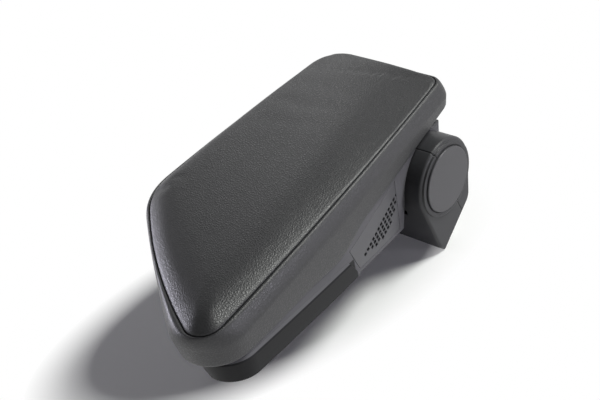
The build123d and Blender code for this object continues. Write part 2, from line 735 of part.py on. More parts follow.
def cover_rib():
    """Rib that ties a post to the cover's front wall."""
    return post_place() * Pos(0, -POST_REACH / 2, 0) * Box(COVER_WALL, POST_REACH, SCREW_LENGTH)


def foot_bracket():
    """Steel plate on the mounting face with two cheeks that carry the fold shaft."""
    rear = -PLATE_INSET
    front = PLATE_INSET - FOOT_LENGTH
    plate = side_polygon(
        mount_point(front), mount_point(rear), mount_point(rear, PLATE), mount_point(front, PLATE)
    )
    cheek = make_hull(Circle(CHEEK_R).edges() + side_polygon(
        mount_point(front, PLATE / 2), mount_point(rear), mount_point(rear, PLATE), mount_point(front, PLATE)
    ).edges())
    solid = across(plate, -PLATE_HALF_WIDTH, PLATE_HALF_WIDTH)
    solid += both_sides(across(cheek, CHEEK_X, CHEEK_X + STEEL))
    solid -= rod(SHAFT_R, -SPAN, SPAN)
    for x in (-FOOT_BOLT_X, FOOT_BOLT_X):
        for step in (-FOOT_BOLT_PITCH / 2, FOOT_BOLT_PITCH / 2):
            solid -= on_mount(x, step - FOOT_LENGTH / 2, 0) * Cylinder(FOOT_BOLT_R, 4 * PLATE)
    solid -= all_of(cover_places(), screw_room(SCREW_LENGTH))
    return {"base_bracket": solid, "cover_screws": all_of(cover_places(), screw(SCREW_LENGTH))}


def fold_parts():
    """Pieces on the fold axis."""
    end = CHEEK_X + STEEL + FIT
    nut_x = end + SHAFT_FLANGE / 2 + FIT
    half = nut_x + NUT + SHAFT_END
    shaft = rod(SHAFT_R, -half, half)
    shaft += rod(SHAFT_FLANGE_R, -end - SHAFT_FLANGE, -end)
    washer = rod(SHAFT_FLANGE_R, end, end + SHAFT_FLANGE / 2) - rod(SHAFT_R + RUN_CLEARANCE, 0, SPAN)
    nut = across(RegularPolygon(NUT_R, 6), nut_x, nut_x + NUT)
    nut -= rod(SHAFT_R, 0, SPAN)
    bush = rod(BUSH_R, BRACKET_HALF_WIDTH, KNUCKLE_HALF_WIDTH) - rod(SHAFT_R + RUN_CLEARANCE, 0, SPAN)
    ring = rod(SHAFT_FLANGE_R - 2 * FIT, KNUCKLE_HALF_WIDTH + FIT, CHEEK_X)
    ring -= rod(SHAFT_R + RUN_CLEARANCE, 0, SPAN)
    cap = rod(CAP_R, EAR_FACE_X + FIT, CAP_FACE_X)
    cap = fillet(cap.faces().sort_by(Axis.X)[-1].edges(), RING_RISE / 2)
    cap += rod(CAP_SEAT_R, CAP_FACE_X - CAP_DEPTH, EAR_FACE_X + FIT)
    cap -= rod(CAP_SEAT_R - COVER_WALL, 0, EAR_FACE_X)
    return {"pivot_shaft": shaft, "spring_washer": washer, "shaft_nut": nut, "pivot_bushes": both_sides(bush),
            "friction_rings": both_sides(ring), "end_cap_right": cap, "end_cap_left": mirror(cap, Plane.YZ)}


PARTS = lid_parts() | arm_parts() | latch_parts() | foot_covers() | foot_bracket() | fold_parts()
ORIGIN = mount_point(-FOOT_LENGTH / 2)
os.makedirs("parts", exist_ok=True)
for name, solid in PARTS.items():
    print(name, len(solid.solids()), round(solid.volume))
    export_step(Pos(0, -ORIGIN[0], -ORIGIN[1]) * solid, f"parts/{name}.step")
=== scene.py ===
"""Dresses the car centre armrest: leather lid, moulded arm and foot, and a plain pale studio."""

import json
import logging
import math
from dataclasses import dataclass, field, replace
from enum import Enum
from typing import Callable, Iterable, Optional, Sequence, Union

import bmesh
import bpy
import numpy as np
from mathutils import Matrix, Vector


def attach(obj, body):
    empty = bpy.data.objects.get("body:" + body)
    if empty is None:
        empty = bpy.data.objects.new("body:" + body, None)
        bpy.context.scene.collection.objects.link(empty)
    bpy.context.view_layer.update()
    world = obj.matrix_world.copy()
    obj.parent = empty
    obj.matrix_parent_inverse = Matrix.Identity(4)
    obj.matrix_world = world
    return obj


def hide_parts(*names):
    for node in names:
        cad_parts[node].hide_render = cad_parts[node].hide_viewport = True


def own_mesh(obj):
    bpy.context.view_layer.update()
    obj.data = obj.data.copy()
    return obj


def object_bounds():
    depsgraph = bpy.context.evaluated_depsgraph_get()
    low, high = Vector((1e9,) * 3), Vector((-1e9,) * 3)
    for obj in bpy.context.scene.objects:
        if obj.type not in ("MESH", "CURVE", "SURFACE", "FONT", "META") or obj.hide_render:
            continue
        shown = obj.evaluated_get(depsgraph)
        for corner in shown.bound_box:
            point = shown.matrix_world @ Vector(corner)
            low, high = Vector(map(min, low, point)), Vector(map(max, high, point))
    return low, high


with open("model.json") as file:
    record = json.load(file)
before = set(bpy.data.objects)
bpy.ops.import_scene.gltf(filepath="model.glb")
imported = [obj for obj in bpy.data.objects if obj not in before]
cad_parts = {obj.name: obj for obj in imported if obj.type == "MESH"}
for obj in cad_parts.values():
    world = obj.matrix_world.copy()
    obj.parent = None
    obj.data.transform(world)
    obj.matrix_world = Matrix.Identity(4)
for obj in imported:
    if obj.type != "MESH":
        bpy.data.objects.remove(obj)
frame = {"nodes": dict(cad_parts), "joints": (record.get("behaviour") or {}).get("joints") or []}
CAD_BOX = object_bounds()

MM = 0.001
FOLD_AXIS = Vector(next(joint["pos_m"] for joint in frame["joints"] if joint["name"] == "arm_fold")) / MM
SEAM_Z = 66.0
WHITE = (1.0, 1.0, 1.0, 1.0)

Colour = tuple[float, float, float]
Point = tuple[float, float, float]
log = logging.getLogger("armrest")


class Body(Enum):
    """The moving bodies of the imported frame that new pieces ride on."""

    ARM = "arm"
    LID = "lid"


class Slot(Enum):
    """Material slots of the record that new pieces take their finish from."""

    LEATHER = "leather"
    FASTENERS = "fasteners"


def row(x: float, y: float, z: float) -> Vector:
    """Moves a point from the fold axis's frame in millimetres to the row frame in metres."""
    return (Vector((x, y, z)) + FOLD_AXIS) * MM


class Socket:
    """A node's output that takes part in Python arithmetic."""

    def __init__(self, shader: "Shader", output: bpy.types.NodeSocket) -> None:
        """Keeps the output and the shader that it belongs to."""
        self.shader = shader
        self.output = output

    def _math(self, operation: str, first: "Value", second: "Value") -> "Socket":
        """Adds a Math node.

        Args:
            operation: The Math node's operation.
            first: Left operand.
            second: Right operand.

        Returns:
            The node's output.
        """
        return self.shader.node("ShaderNodeMath", {"operation": operation}, {0: first, 1: second})

    def __add__(self, other: "Value") -> "Socket":
        """Sum."""
        return self._math("ADD", self, other)

    def __radd__(self, other: float) -> "Socket":
        """Sum with the socket on the right."""
        return self._math("ADD", other, self)

    def __sub__(self, other: "Value") -> "Socket":
        """Difference."""
        return self._math("SUBTRACT", self, other)

    def __rsub__(self, other: float) -> "Socket":
        """Difference with the socket on the right."""
        return self._math("SUBTRACT", other, self)

    def __mul__(self, other: "Value") -> "Socket":
        """Product."""
        return self._math("MULTIPLY", self, other)

    def __rmul__(self, other: float) -> "Socket":
        """Product with the socket on the right."""
        return self._math("MULTIPLY", other, self)

    def at_most(self, limit: "Value") -> "Socket":
        """The smaller of this and a limit."""
        return self._math("MINIMUM", self, limit)

    def at_least(self, limit: "Value") -> "Socket":
        """The larger of this and a limit."""
        return self._math("MAXIMUM", self, limit)

    def clamped(self) -> "Socket":
        """This value, kept from 0 to 1."""
        return self.at_most(1.0).at_least(0.0)

    def ramp(self, start: float, end: float) -> "Socket":
        """Zero up to a start, one from an end on, and straight between them."""
        return ((self - start) * (1.0 / (end - start))).clamped()


Value = Union[Socket, float]
Sockets = dict[Union[int, str], Union[Socket, float, Sequence[float]]]


class Shader:
    """A material's node tree, built from expressions."""

    def __init__(self, tree: bpy.types.NodeTree) -> None:
        """Starts with an empty tree."""
        self.tree = tree
        tree.nodes.clear()

    @classmethod
    def material(cls, name: str) -> tuple[bpy.types.Material, "Shader"]:
        """Makes a new material with an empty tree.

        Args:
            name: The material's name.

        Returns:
            The material and its shader.
        """
        made = bpy.data.materials.new(name)
        made.use_nodes = True
        return made, cls(made.node_tree)

    def node(
        self,
        kind: str,
        settings: Optional[dict[str, object]] = None,
        sockets: Optional[Sockets] = None,
        output: Union[int, str] = 0,
    ) -> Socket:
        """Adds a node.

        Args:
            kind: The node's type.
            settings: The node's own properties, set first.
            sockets: Values or links of its inputs.
            output: Which output to give back.

        Returns:
            The chosen output.
        """
        made = self.tree.nodes.new(kind)
        for key, value in (settings or {}).items():
            setattr(made, key, value)
        for key, value in (sockets or {}).items():
            if isinstance(value, Socket):
                self.tree.links.new(value.output, made.inputs[key])
            else:
                made.inputs[key].default_value = value
        return Socket(self, made.outputs[output] if made.outputs else None)

    def place(self) -> Socket:
        """The point on the surface in its body's own frame, in metres."""
        return self.node("ShaderNodeTexCoord", output="Object")

    def noise(self, scale: float, detail: float = 2.0, at: Optional[Socket] = None) -> Socket:
        """Noise of a given number of lumps per metre.

        Args:
            scale: Lumps per metre.
            detail: Octaves.
            at: Where to read it, if not on the plain surface.

        Returns:
            The noise's value, about 0.5 on average.
        """
        at = at or self.place()
        return self.node("ShaderNodeTexNoise", None, {"Vector": at, "Scale": scale, "Detail": detail}, "Fac")

    def tint(self, low: Union[Socket, Colour], high: Union[Socket, Colour], share: Value) -> Socket:
        """Mixes two colours.

        Args:
            low: Colour at share 0.
            high: Colour at share 1.
            share: How much of the second colour.

        Returns:
            The mixed colour.
        """
        first, second = (end if isinstance(end, Socket) else (*end, 1.0) for end in (low, high))
        return self.node("ShaderNodeMix", {"data_type": "RGBA"}, {0: share, 6: first, 7: second}, 2)

    def mottle(self, colour: Colour, darkest: float, lightest: float, share: Value) -> Socket:
        """A colour that varies between two multiples of itself.

        Args:
            colour: The colour.
            darkest: Its multiple at share 0.
            lightest: Its multiple at share 1.
            share: How much of the lighter one.

        Returns:
            The varying colour.
        """
        dark, light = (tuple(channel * factor for channel in colour) for factor in (darkest, lightest))
        return self.tint(dark, light, share)

    def bump(
        self, height: Socket, strength: float, depth_mm: float, normal: Optional[Socket] = None
    ) -> Socket:
        """Turns a height into a normal.

        Args:
            height: The relief, from 0 to 1.
            strength: How strongly it shows.
            depth_mm: Its real depth in millimetres.
            normal: A normal to start from.

        Returns:
            The bumped normal.
        """
        sockets: Sockets = {"Height": height, "Strength": strength, "Distance": depth_mm * MM}
        if normal:
            sockets["Normal"] = normal
        return self.node("ShaderNodeBump", None, sockets)

    def rounded(self, radius_mm: float) -> Socket:
        """Normal with its sharp edges eased by a small radius."""
        return self.node("ShaderNodeBevel", {"samples": 6}, {"Radius": radius_mm * MM})

    def surface(self, sockets: Sockets) -> None:
        """Ends the tree in a Principled shader with the given sockets."""
        shader = self.node("ShaderNodeBsdfPrincipled", None, sockets)
        self.node("ShaderNodeOutputMaterial", None, {"Surface": shader})


@dataclass(frozen=True)
class Leather:
    """Pebble-grain leather with a soft sheen."""

    name: str
    colour: Colour
    pebbles_per_metre: float = 560.0
    roughness: float = 0.40
    relief: float = 0.42
    relief_mm: float = 0.25
    wander_per_metre: float = 210.0
    wander_reach: float = 0.0022
    pebble_steepness: float = 3.4
    pores_per_metre: float = 2900.0
    clouds_per_metre: float = 16.0
    specular: float = 0.55
    sheen: float = 0.01
    sheen_roughness: float = 0.45

    def make(self) -> bpy.types.Material:
        """Builds the material.

        Returns:
            The material.
        """
        made, s = Shader.material(self.name)
        wander = s.node(
            "ShaderNodeTexNoise",
            None,
            {"Vector": s.place(), "Scale": self.wander_per_metre, "Detail": 2.0},
            "Color",
        )
        drift = s.node(
            "ShaderNodeVectorMath", {"operation": "SCALE"}, {0: wander, "Scale": self.wander_reach}
        )
        warped = s.node("ShaderNodeVectorMath", {"operation": "ADD"}, {0: s.place(), 1: drift})
        edge = s.node(
            "ShaderNodeTexVoronoi",
            {"feature": "DISTANCE_TO_EDGE"},
            {"Vector": warped, "Scale": self.pebbles_per_metre},
            "Distance",
        )
        pebble = (edge * self.pebble_steepness).at_most(1.0)
        pores = s.noise(self.pores_per_metre, 3.0)
        cloud = s.noise(self.clouds_per_metre, 3.0)
        tone = (pebble * 0.55 + cloud * 0.6 - 0.1).clamped()
        s.surface({
            "Base Color": s.mottle(self.colour, 0.74, 1.16, tone),
            "Roughness": self.roughness + (1 - pebble) * 0.12 + (cloud - 0.5) * 0.12,
            "Normal": s.bump(pebble * 0.8 + pores * 0.2, self.relief, self.relief_mm),
            "Specular IOR Level": self.specular,
            "Sheen Weight": self.sheen,
            "Sheen Roughness": self.sheen_roughness,
        })
        return made


@dataclass(frozen=True)
class MouldedPlastic:
    """Moulded plastic with a fine spark-eroded grain."""

    name: str
    colour: Colour
    roughness: float = 0.46
    grain_per_metre: float = 1500.0
    relief: float = 0.16
    edge_mm: float = 0.7
    gloss: float = 0.45
    grain_mm: float = 0.12
    flow_per_metre: float = 22.0
    spread: tuple[float, float] = (0.86, 1.14)

    def make(self) -> bpy.types.Material:
        """Builds the material.

        Returns:
            The material.
        """
        made, s = Shader.material(self.name)
        grain = s.noise(self.grain_per_metre, 4.0)
        flow = s.noise(self.flow_per_metre, 3.0)
        tone = (flow * 0.8 + grain * 0.2).at_most(1.0)
        s.surface({
            "Base Color": self.base(s, tone),
            "Roughness": self.roughness + (grain - 0.5) * 0.10 + (flow - 0.5) * 0.08,
            "Normal": s.bump(grain, self.relief, self.grain_mm, s.rounded(self.edge_mm)),
            "Specular IOR Level": self.gloss,
        })
        return made

    def base(self, s: Shader, tone: Socket) -> Socket:
        """Colour of the moulding.

        Args:
            s: The material's shader.
            tone: Lighter and darker places.

        Returns:
            The colour.
        """
        return s.mottle(self.colour, *self.spread, tone)


@dataclass(frozen=True)
class RibbonedPlastic(MouldedPlastic):
    """Moulded plastic with painted shade: darker on its proud lower band and on faces that look down.

    The lower band's place is in millimetres about the fold axis.
    """

    # Painted shade: this darker colour stands in for the shade that falls on the lower band and on faces that
    # look down.
    painted_ribbon_shade: Colour = (0.013, 0.013, 0.014)
    ribbon_level: float = -14.9
    ribbon_rise: float = math.tan(math.radians(11.2))
    ribbon_rear_y: float = -108.0
    ribbon_sharpness: float = 3000.0
    underside: float = 0.8
    underside_sharpness: float = 20.0

    def base(self, s: Shader, tone: Socket) -> Socket:
        """Colour of the moulding, with painted shade on the lower band and underneath.

        Args:
            s: The material's shader.
            tone: Lighter and darker places.

        Returns:
            The colour.
        """
        y = s.node("ShaderNodeSeparateXYZ", None, {0: s.place()}, "Y") - FOLD_AXIS.y * MM
        z = s.node("ShaderNodeSeparateXYZ", None, {0: s.place()}, "Z") - FOLD_AXIS.z * MM
        lower = self.ribbon_level * MM - z - y * self.ribbon_rise
        ahead = self.ribbon_rear_y * MM - y
        on_ribbon = (lower * self.ribbon_sharpness).clamped() * (ahead * self.ribbon_sharpness).clamped()
        # Painted shade on faces that look down, joined with the painted shade on the lower band.
        facing = s.node("ShaderNodeTexCoord", output="Normal")
        down = s.node("ShaderNodeSeparateXYZ", None, {0: facing}, "Z") * -1.0
        below = ((down - self.underside) * self.underside_sharpness).clamped()
        dark = s.mottle(self.painted_ribbon_shade, *self.spread, tone)
        return s.tint(super().base(s, tone), dark, on_ribbon.at_least(below))


@dataclass(frozen=True)
class PlatedSteel:
    """Zinc-plated steel with faint rolling lines."""

    name: str
    colour: Colour
    roughness: float = 0.34
    lines_per_metre: float = 1800.0
    lines_stretch: Point = (1.0, 0.06, 1.0)
    spangles_per_metre: float = 90.0
    relief: float = 0.12
    relief_mm: float = 0.05
    edge_mm: float = 0.4

    def make(self) -> bpy.types.Material:
        """Builds the material.

        Returns:
            The material.
        """
        made, s = Shader.material(self.name)
        stretched = s.node(
            "ShaderNodeVectorMath", {"operation": "MULTIPLY"}, {0: s.place(), 1: self.lines_stretch}
        )
        lines = s.noise(self.lines_per_metre, 3.0, stretched)
        spangle = s.noise(self.spangles_per_metre, 2.0)
        s.surface({
            "Base Color": s.mottle(self.colour, 0.8, 1.15, lines * 0.5 + spangle * 0.5),
            "Metallic": 1.0,
            "Roughness": self.roughness + (lines - 0.5) * 0.2 + (spangle - 0.5) * 0.1,
            "Normal": s.bump(lines, self.relief, self.relief_mm, s.rounded(self.edge_mm)),
        })
        return made


@dataclass(frozen=True)
class Felt:
    """Short matted fibres."""

    name: str
    colour: Colour
    roughness: float = 0.88
    fibres_per_metre: float = 2400.0
    patches_per_metre: float = 120.0
    relief: float = 0.5
    relief_mm: float = 0.3
    sheen: float = 0.3
    sheen_roughness: float = 0.5

    def make(self) -> bpy.types.Material:
        """Builds the material.

        Returns:
            The material.
        """
        made, s = Shader.material(self.name)
        fibre = s.noise(self.fibres_per_metre, 5.0)
        patch = s.noise(self.patches_per_metre, 2.0)
        s.surface({
            "Base Color": s.mottle(self.colour, 0.6, 1.5, fibre * 0.7 + patch * 0.3),
            "Roughness": self.roughness + (fibre - 0.5) * 0.1,
            "Normal": s.bump(fibre, self.relief, self.relief_mm),
            "Sheen Weight": self.sheen,
            "Sheen Roughness": self.sheen_roughness,
        })
        return made


class Finishes:
    """The armrest's finishes, each made once."""

    def __init__(self) -> None:
        """Builds every material."""
        self.leather = Leather("charcoal_leather", (0.0155, 0.0155, 0.0175)).make()
        self.seam = Leather("seam_thread", (0.010, 0.010, 0.011), 1600.0, 0.7, 0.5).make()
        # The arm plastic carries painted shade on its proud lower band and on faces that look down.
        self.shell = RibbonedPlastic("arm_plastic", (0.100, 0.098, 0.107), 0.46, gloss=0.10).make()
        self.grille = MouldedPlastic("grille_plastic", (0.066, 0.065, 0.072), 0.44).make()
        self.foot = MouldedPlastic("foot_plastic", (0.034, 0.034, 0.037), edge_mm=1.8, gloss=0.30).make()
        self.cap = MouldedPlastic("cap_plastic", (0.054, 0.053, 0.058), 0.44, 1900.0, 0.10).make()
        self.inner = MouldedPlastic("carrier_plastic", (0.020, 0.020, 0.021), 0.58, 900.0, 0.25, 0.4).make()
        self.acetal = MouldedPlastic("acetal", (0.72, 0.71, 0.66), 0.40, 700.0, 0.06, 0.3).make()
        self.steel = PlatedSteel("plated_steel", (0.52, 0.52, 0.53)).make()
        self.fastener = PlatedSteel("fastener_steel", (0.46, 0.46, 0.48), 0.28).make()
        self.lining = Felt("black_felt", (0.020, 0.020, 0.021)).make()


@dataclass(frozen=True)
class LidPlan:
    """The lid's plan along its sewn seam, in millimetres about the fold axis."""

    rear_y: float = 33.5
    rear_half_width: float = 52.4
    flare_deg: float = 4.25
    nose_y: float = -276.0
    short_side_y: float = -166.0
    bulges: tuple[float, ...] = (3.4, 2.2, 3.4, 0.4)
    seam_radii: tuple[float, ...] = (8.0, 22.5, 40.0, 18.0)
    least_radius: float = 5.0
    out: float = 0.0
    nose_out: float = 0.0
    short_out: float = 0.0
    nose_in: float = 0.0
    side_steps: tuple[int, ...] = (104, 48, 104, 48)
    samples: int = 400

    def moved(self, out: float, nose_out: Optional[float] = None) -> "LidPlan":
        """The same plan with its edges moved out from the seam.

        Args:
            out: How far.
            nose_out: How far the slanted front edge moves at the nose, where that differs.

        Returns:
            The new plan.
        """
        return replace(self, out=out, nose_out=out if nose_out is None else nose_out, short_out=out)

    @property
    def radii(self) -> tuple[float, ...]:
        """Radii of the corners, moved out with the edges."""
        return tuple(max(radius + self.out, self.least_radius) for radius in self.seam_radii)

    def _seam_corner(self, side: int, y: float) -> np.ndarray:
        """Corner of the seam at y, on the right for side 1 and on the left for -1."""
        half_width = self.rear_half_width + (self.rear_y - y) * math.tan(math.radians(self.flare_deg))
        return np.array((side * half_width, y))

    def corners(self) -> list[np.ndarray]:
        """Finds where the moved edges would meet without their roundings.

        Returns:
            The four corners: rear right, nose, short side, rear left.
        """
        places = ((1, self.rear_y), (1, self.nose_y), (-1, self.short_side_y), (-1, self.rear_y))
        seam = [self._seam_corner(*place) for place in places]
        lines = []
        plain = (self.out, self.out)
        moves = (plain, (self.nose_out - self.nose_in, self.short_out), plain, plain)
        for here, there, (near, far) in zip(seam, seam[1:] + seam[:1], moves):
            along = (there - here) / np.linalg.norm(there - here)
            outward = np.array((-along[1], along[0]))
            start, end = here + outward * near, there + outward * far
            lines.append((start, (end - start) / np.linalg.norm(end - start)))
        found = []
        for (p, d), (q, e) in zip(lines[-1:] + lines[:-1], lines):
            reach = ((q - p)[0] * e[1] - (q - p)[1] * e[0]) / (d[0] * e[1] - d[1] * e[0])
            found.append(p + d * reach)
        return found

    def _edge(self, index: int) -> tuple[np.ndarray, float]:
        """The circle that one bowed edge lies on.

        Args:
            index: The edge; edge 0 runs from the rear right corner to the nose.

        Returns:
            Its centre and radius.
        """
        corners = self.corners()
        here, there = corners[index % 4], corners[(index + 1) % 4]
        chord = np.linalg.norm(there - here)
        along = (there - here) / chord
        bulge = self.bulges[index % 4]
        radius = (chord**2 / 4 + bulge**2) / (2 * bulge)
        return (here + there) / 2 - np.array((-along[1], along[0])) * (radius - bulge), radius

    def _rounding(self, index: int) -> np.ndarray:
        """Centre of one corner's rounding, inside both edges that meet there.

        Args:
            index: The corner.

        Returns:
            The centre.
        """
        (a, big_a), (b, big_b) = self._edge(index - 1), self._edge(index)
        near_a, near_b = big_a - self.radii[index % 4], big_b - self.radii[index % 4]
        gap = np.linalg.norm(b - a)
        along = (b - a) / gap
        reach = (near_a**2 - near_b**2 + gap**2) / (2 * gap)
        aside = np.array((-along[1], along[0])) * math.sqrt(near_a**2 - reach**2)
        corner = self.corners()[index % 4]
        crossings = (a + along * reach + aside, a + along * reach - aside)
        return min(crossings, key=lambda point: np.linalg.norm(point - corner))

    def _touch(self, edge: int, corner: int) -> np.ndarray:
        """Unit direction in which an edge and a corner's rounding touch."""
        away = self._rounding(corner) - self._edge(edge)[0]
        return away / np.linalg.norm(away)

    def _middle(self, corner: int) -> np.ndarray:
        """Unit direction of the middle of a corner's rounding."""
        both = self._touch(corner - 1, corner) + self._touch(corner, corner)
        return both / np.linalg.norm(both)

    def side(self, index: int) -> np.ndarray:
        """One side from the middle of its first rounding to the middle of its second.

        Args:
            index: The side; side 0 runs from the rear right corner to the nose.

        Returns:
            Evenly spaced points, without the last.
        """
        after = index + 1
        start, end = self._touch(index, index), self._touch(index, after)
        turns = np.linspace(0, 1, self.samples)[:, None]
        dense = np.concatenate((
            self._arc(self._rounding(index), self.radii[index], self._middle(index), start, turns),
            self._arc(*self._edge(index), start, end, turns)[1:-1],
            self._arc(self._rounding(after), self.radii[after % 4], end, self._middle(after), turns),
        ))
        steps = np.concatenate(([0], np.cumsum(np.linalg.norm(np.diff(dense, axis=0), axis=1))))
        wanted = np.linspace(0, steps[-1], self.side_steps[index] + 1)[:-1]
        return np.stack([np.interp(wanted, steps, dense[:, k]) for k in (0, 1)], axis=1)

    @staticmethod
    def _arc(
        centre: np.ndarray, radius: float, first: np.ndarray, last: np.ndarray, turns: np.ndarray
    ) -> np.ndarray:
        """Points on a rounding between two directions.

        Args:
            centre: The rounding's centre.
            radius: Its radius.
            first: Unit direction of the first point.
            last: Unit direction of the last point.
            turns: Shares of the way between them.

        Returns:
            The points.
        """
        angle = math.acos(float(np.clip(first @ last, -1, 1)))
        blend = (np.sin((1 - turns) * angle) * first + np.sin(turns * angle) * last) / math.sin(angle)
        return centre + radius * blend

    def outline(self) -> tuple[np.ndarray, np.ndarray]:
        """Draws the whole closed line.

        Returns:
            Its points and their outward directions, evenly spaced on each side.
        """
        points = np.concatenate([self.side(index) for index in range(4)])
        ahead = np.roll(points, -1, axis=0) - np.roll(points, 1, axis=0)
        outward = np.stack((-ahead[:, 1], ahead[:, 0]), axis=1)
        outward /= np.linalg.norm(outward, axis=1)[:, None]
        return points, outward

    def fill(self, edge: np.ndarray) -> np.ndarray:
        """Spreads a grid between the four sides of a closed line.

        Args:
            edge: The line's points, side by side as outline() gives them.

        Returns:
            Grid points, indexed along the long sides, then across.
        """
        n, m = self.side_steps[0], self.side_steps[1]
        right = edge[: n + 1]
        front = edge[n : n + m + 1]
        left = edge[n + m : 2 * n + m + 1][::-1]
        rear = np.concatenate((edge[2 * n + m :], edge[:1]))[::-1]
        u = np.linspace(0, 1, n + 1)[:, None, None]
        v = np.linspace(0, 1, m + 1)[None, :, None]
        sides = (1 - v) * right[:, None] + v * left[:, None] + (1 - u) * rear[None] + u * front[None]
        right_ends = (1 - u) * right[0] + u * right[-1]
        left_ends = (1 - u) * left[0] + u * left[-1]
        return sides - (1 - v) * right_ends - v * left_ends

    def grid_edge(self) -> list[tuple[int, int]]:
        """Tells where the closed line's points lie in the grid of fill().

        Returns:
            Their grid places, in the line's order.
        """
        n, m = self.side_steps[0], self.side_steps[1]
        right = [(i, 0) for i in range(n)]
        front = [(n, j) for j in range(m)]
        left = [(n - i, m) for i in range(n)]
        rear = [(0, m - j) for j in range(m)]
        return right + front + left + rear


class MeshMaker:
    """Collects rings and grids of points and turns them into one piece."""

    def __init__(self) -> None:
        """Starts empty."""
        self.mesh = bmesh.new()

    def ring(self, points: Iterable[Sequence[float]]) -> list[bmesh.types.BMVert]:
        """Adds a ring of points, given in millimetres about the fold axis."""
        return [self.mesh.verts.new(row(*point)) for point in points]

    def strip(self, low: Sequence[bmesh.types.BMVert], high: Sequence[bmesh.types.BMVert]) -> None:
        """Joins two closed rings with quads.

        Args:
            low: The first ring.
            high: The second ring, with as many points.
        """
        for i in range(len(low)):
            j = (i + 1) % len(low)
            self.mesh.faces.new((low[i], low[j], high[j], high[i]))

    def patch(self, grid: Sequence[Sequence[bmesh.types.BMVert]]) -> None:
        """Fills a grid with quads.

        Args:
            grid: Rows of vertices.
        """
        for near, far in zip(grid, grid[1:]):
            for a, b, c, d in zip(near, near[1:], far[1:], far):
                self.mesh.faces.new((a, b, c, d))

    def piece(self, name: str, material: bpy.types.Material) -> bpy.types.Object:
        """Finishes the mesh.

        Args:
            name: The piece's name.
            material: Its finish.

        Returns:
            The new object, smooth shaded.
        """
        bmesh.ops.recalc_face_normals(self.mesh, faces=self.mesh.faces[:])
        data = bpy.data.meshes.new(name)
        self.mesh.to_mesh(data)
        self.mesh.free()
        data.materials.append(material)
        data.shade_smooth()
        made = bpy.data.objects.new(name, data)
        bpy.context.scene.collection.objects.link(made)
        return made


